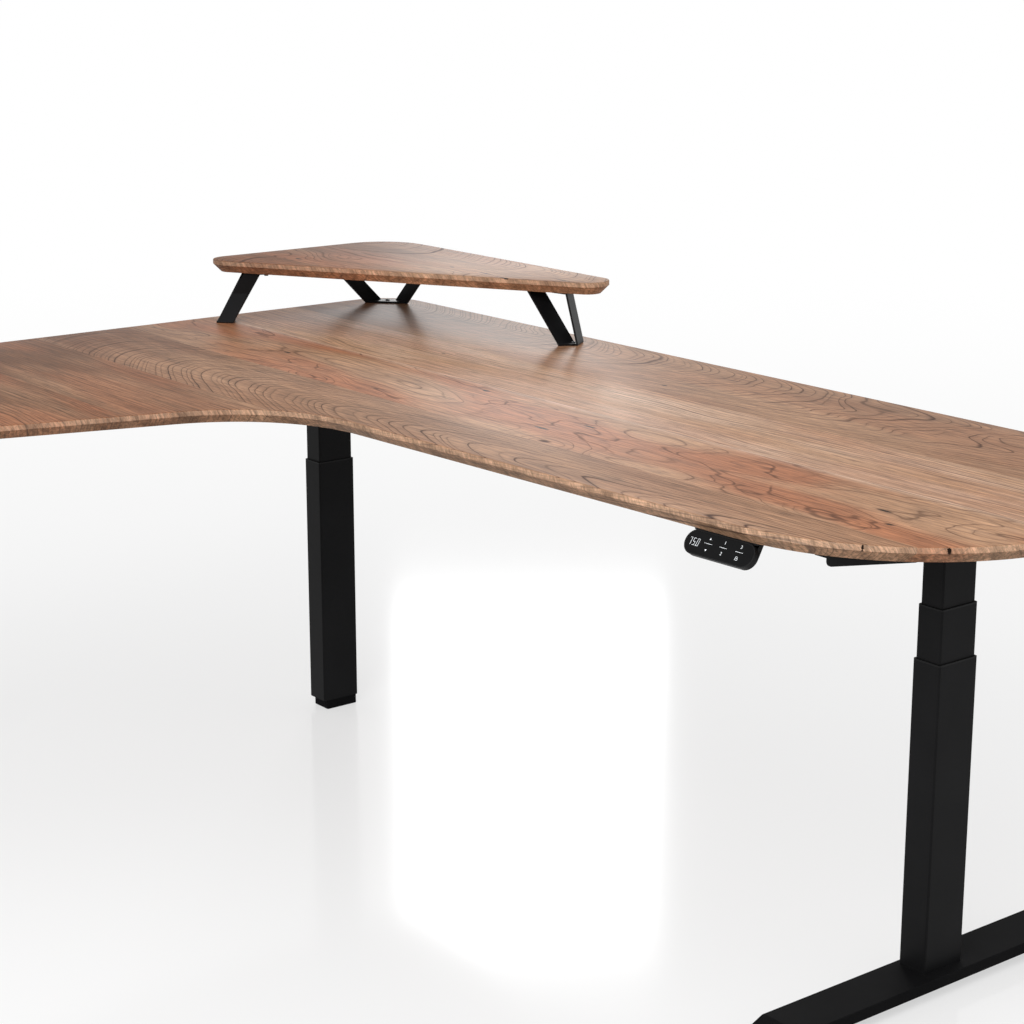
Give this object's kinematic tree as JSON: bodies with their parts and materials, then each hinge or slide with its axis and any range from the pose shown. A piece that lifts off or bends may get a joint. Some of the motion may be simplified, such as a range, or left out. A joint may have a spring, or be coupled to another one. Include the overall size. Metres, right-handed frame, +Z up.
{
  "type": "l-shaped standing desk",
  "caption": "L-shaped height-adjustable desk with a timber top, a raised corner shelf and telescopic steel columns driven by screws.",
  "frame": {"origin": "floor level under the middle of the plan box", "axes": "+X along the right wing towards its round end, +Y towards the back edge, +Z up"},
  "size_m": [2.237, 1.78, 0.875],
  "materials": {
    "timber": "oiled solid timber, lengthwise boards",
    "shelf_timber": "oiled solid timber, same boards as the desktop",
    "black_steel": "fine matt black powder coat",
    "shelf_steel": "satin black paint",
    "collar_plastic": "matt black moulding",
    "leveller_rubber": "matt black",
    "screw_steel": "oiled ground steel",
    "nut_plastic": "natural white moulding",
    "motor_casing": "matt black",
    "fixing_steel": "black zinc",
    "box_shell": "fine textured black",
    "inlet_plastic": "smooth black",
    "handset_plastic": "fine textured black",
    "handset_glass": "gloss black touch face"
  },
  "bodies": {
    "right_base": {"right_foot": "black_steel", "right_levellers": "leveller_rubber", "right_outer_tube": "black_steel", "right_outer_collar": "collar_plastic", "right_fixed_screw": "screw_steel"},
    "top": {"desktop": "timber", "shelf_board": "shelf_timber", "shelf_bracket_left": "shelf_steel", "shelf_bracket_back": "shelf_steel", "shelf_bracket_right": "shelf_steel", "shelf_screws": "fixing_steel", "shelf_foot_screws": "fixing_steel", "right_side_bracket": "black_steel", "left_side_bracket": "black_steel", "corner_bracket": "black_steel", "right_rail_front": "black_steel", "right_rail_back": "black_steel", "left_rail_inner": "black_steel", "left_rail_outer": "black_steel", "top_screws": "fixing_steel", "column_bolts": "fixing_steel", "control_box": "box_shell", "control_inlet": "inlet_plastic", "handset_mount": "handset_plastic", "handset_housing": "handset_plastic", "handset_panel": "handset_glass", "handset_screws": "fixing_steel", "right_inner_tube": "black_steel", "right_lift_nut": "nut_plastic", "right_gear_motor": "motor_casing", "corner_inner_tube": "black_steel", "corner_lift_nut": "nut_plastic", "corner_gear_motor": "motor_casing", "left_inner_tube": "black_steel", "left_lift_nut": "nut_plastic", "left_gear_motor": "motor_casing"},
    "right_mid": {"right_mid_tube": "black_steel", "right_mid_collar": "collar_plastic"},
    "right_screw": {"right_lead_screw": "screw_steel"},
    "right_shaft": {"right_drive_shaft": "screw_steel"},
    "corner_mid": {"corner_mid_tube": "black_steel", "corner_mid_collar": "collar_plastic"},
    "corner_screw": {"corner_lead_screw": "screw_steel"},
    "corner_shaft": {"corner_drive_shaft": "screw_steel"},
    "corner_base": {"corner_foot": "black_steel", "corner_levellers": "leveller_rubber", "corner_outer_tube": "black_steel", "corner_outer_collar": "collar_plastic", "corner_fixed_screw": "screw_steel"},
    "left_mid": {"left_mid_tube": "black_steel", "left_mid_collar": "collar_plastic"},
    "left_screw": {"left_lead_screw": "screw_steel"},
    "left_shaft": {"left_drive_shaft": "screw_steel"},
    "left_base": {"left_foot": "black_steel", "left_levellers": "leveller_rubber", "left_outer_tube": "black_steel", "left_outer_collar": "collar_plastic", "left_fixed_screw": "screw_steel"}
  },
  "joints": [
    {"name": "lift", "type": "slide", "parent": "right_base", "child": "top", "axis": [0, 0, 1], "range_m": [-0.15, 0.5]},
    {"name": "right_mid_slide", "type": "slide", "parent": "right_base", "child": "right_mid", "axis": [0, 0, 1], "range_m": [-0.075, 0.25]},
    {"name": "corner_base_slide", "type": "slide", "parent": "top", "child": "corner_base", "axis": [0, 0, 1], "range_m": [-0.5, 0.15]},
    {"name": "corner_mid_slide", "type": "slide", "parent": "top", "child": "corner_mid", "axis": [0, 0, 1], "range_m": [-0.25, 0.075]},
    {"name": "left_base_slide", "type": "slide", "parent": "top", "child": "left_base", "axis": [0, 0, 1], "range_m": [-0.5, 0.15]},
    {"name": "left_mid_slide", "type": "slide", "parent": "top", "child": "left_mid", "axis": [0, 0, 1], "range_m": [-0.25, 0.075]},
    {"name": "right_screw_turn", "type": "hinge", "parent": "right_mid", "child": "right_screw", "pos_m": [0.8895, 0.4475, 0.33], "axis": [0, 0, 1], "range_deg": [-3380, 11255]},
    {"name": "right_shaft_turn", "type": "hinge", "parent": "top", "child": "right_shaft", "pos_m": [0.8895, 0.4475, 0.48], "axis": [0, 0, 1], "range_deg": [-3380, 11255]},
    {"name": "corner_screw_turn", "type": "hinge", "parent": "corner_mid", "child": "corner_screw", "pos_m": [-0.7193, 0.4475, 0.33], "axis": [0, 0, 1], "range_deg": [-3380, 11255]},
    {"name": "corner_shaft_turn", "type": "hinge", "parent": "top", "child": "corner_shaft", "pos_m": [-0.7193, 0.4475, 0.48], "axis": [0, 0, 1], "range_deg": [-3380, 11255]},
    {"name": "left_screw_turn", "type": "hinge", "parent": "left_mid", "child": "left_screw", "pos_m": [-0.7685, -0.61, 0.33], "axis": [0, 0, 1], "range_deg": [-3380, 11255]},
    {"name": "left_shaft_turn", "type": "hinge", "parent": "top", "child": "left_shaft", "pos_m": [-0.7685, -0.61, 0.48], "axis": [0, 0, 1], "range_deg": [-3380, 11255]}
  ],
  "couplings": [
    {"joint": "right_mid_slide", "follows": "lift", "ratio": 0.5},
    {"joint": "corner_base_slide", "follows": "lift", "ratio": -1},
    {"joint": "corner_mid_slide", "follows": "lift", "ratio": -0.5},
    {"joint": "left_base_slide", "follows": "lift", "ratio": -1},
    {"joint": "left_mid_slide", "follows": "lift", "ratio": -0.5},
    {"joint": "right_screw_turn", "follows": "lift", "rad_per_m": 392.7},
    {"joint": "right_shaft_turn", "follows": "lift", "rad_per_m": 392.7},
    {"joint": "corner_screw_turn", "follows": "lift", "rad_per_m": 392.7},
    {"joint": "corner_shaft_turn", "follows": "lift", "rad_per_m": 392.7},
    {"joint": "left_screw_turn", "follows": "lift", "rad_per_m": 392.7},
    {"joint": "left_shaft_turn", "follows": "lift", "rad_per_m": 392.7}
  ]
}
